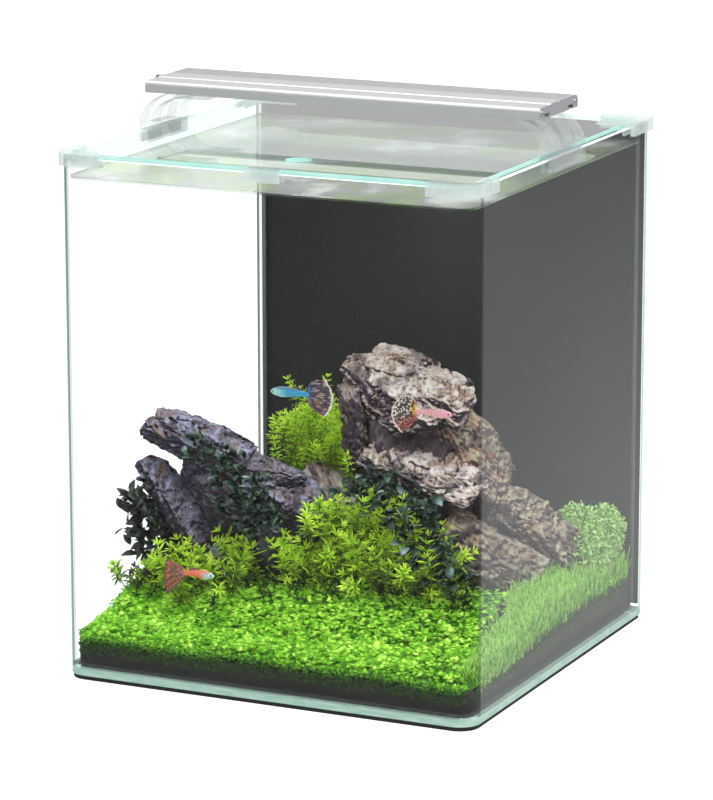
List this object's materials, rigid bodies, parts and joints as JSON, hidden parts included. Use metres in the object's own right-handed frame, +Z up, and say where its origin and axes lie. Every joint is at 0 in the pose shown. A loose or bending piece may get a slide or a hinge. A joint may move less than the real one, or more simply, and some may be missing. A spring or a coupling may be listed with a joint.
{
  "type": "planted glass aquarium",
  "caption": "Rimless glass aquarium with bent front corners, a cover glass on rim clips, a slim lamp on clear rim brackets, and rocks, plants and small fish; stands on a thin mat.",
  "frame": {"origin": "middle of the underside of the mat the tank stands on", "axes": "+Z up, front faces -Y, +X to the right seen from the front"},
  "size_m": [0.3064, 0.3064, 0.3915],
  "materials": {
    "tank_glass": "clear float glass with pale green edges",
    "cover_glass": "clear float glass with pale cyan ground edges",
    "base_mat": "black closed-cell foam",
    "background_film": "dark grey film",
    "silicone": "clear silicone",
    "clear_plastic": "clear moulded plastic",
    "rim_pad": "clear soft liner",
    "lamp_housing": "satin anodised extrusion",
    "end_cap": "satin flat plate",
    "screws": "small bright screws",
    "lamp_lens": "milky diffuser",
    "led_board": "white board",
    "leds": "yellow phosphor",
    "cable_gland": "soft black gland",
    "substrate": "dark granular soil",
    "rock": "layered grey and cream rock with rust patches",
    "carpet_leaves": "dense small round leaves",
    "bright_leaves": "fine yellow-green leaves",
    "dark_leaves": "broad dark blue-green leaves",
    "moss": "dark moss and fern",
    "bush_leaves": "small round mid-green leaves",
    "red_fish": "red-orange scales with a pale blue head",
    "blue_fish": "blue-green scales with a dark fan tail",
    "pink_fish": "pink scales with a spotted fan tail"
  },
  "bodies": {
    "tank": {"base_mat": "base_mat", "floor_pane": "tank_glass", "wall_pane": "tank_glass", "back_pane": "tank_glass", "background_film": "background_film", "floor_bead": "silicone", "back_beads": "silicone", "front_left_clip": "clear_plastic", "front_middle_clip": "clear_plastic", "front_right_clip": "clear_plastic", "rear_left_clip": "clear_plastic", "rear_right_clip": "clear_plastic", "substrate": "substrate", "main_rock": "rock", "upper_left_rock": "rock", "lower_left_rock": "rock", "foreground_carpet": "carpet_leaves", "stem_plants": "bright_leaves", "rear_bush": "bright_leaves", "left_rock_leaves": "dark_leaves", "centre_leaves": "dark_leaves", "left_fern": "moss", "corner_bush": "bush_leaves", "moss_band": "moss", "red_fish": "red_fish", "blue_fish": "blue_fish", "pink_fish": "pink_fish"},
    "cover": {"cover_glass": "cover_glass"},
    "rim_pads": {"left_rim_pad": "rim_pad", "right_rim_pad": "rim_pad"},
    "brackets": {"left_bracket": "clear_plastic", "right_bracket": "clear_plastic"},
    "lamp": {"lamp_housing": "lamp_housing", "left_end_cap": "end_cap", "right_end_cap": "end_cap", "end_cap_screws": "screws", "lamp_lens": "lamp_lens", "led_board": "led_board", "leds": "leds", "cable_gland": "cable_gland"}
  },
  "joints": [
    {"name": "lamp_slide", "type": "slide", "parent": "tank", "child": "rim_pads", "axis": [0, 1, 0], "range_m": [-0.085, 0.085]},
    {"name": "lamp_lift", "type": "slide", "parent": "rim_pads", "child": "brackets", "axis": [0, 0, 1], "range_m": [0, 0.12]},
    {"name": "lamp_shift", "type": "slide", "parent": "brackets", "child": "lamp", "axis": [1, 0, 0], "range_m": [-0.02, 0.02]},
    {"name": "cover_lift", "type": "slide", "parent": "tank", "child": "cover", "axis": [0, 0, 1], "range_m": [0, 0.06]}
  ],
  "couplings": [
    {"joint": "cover_lift", "follows": "lamp_lift", "ratio": 0.5}
  ]
}
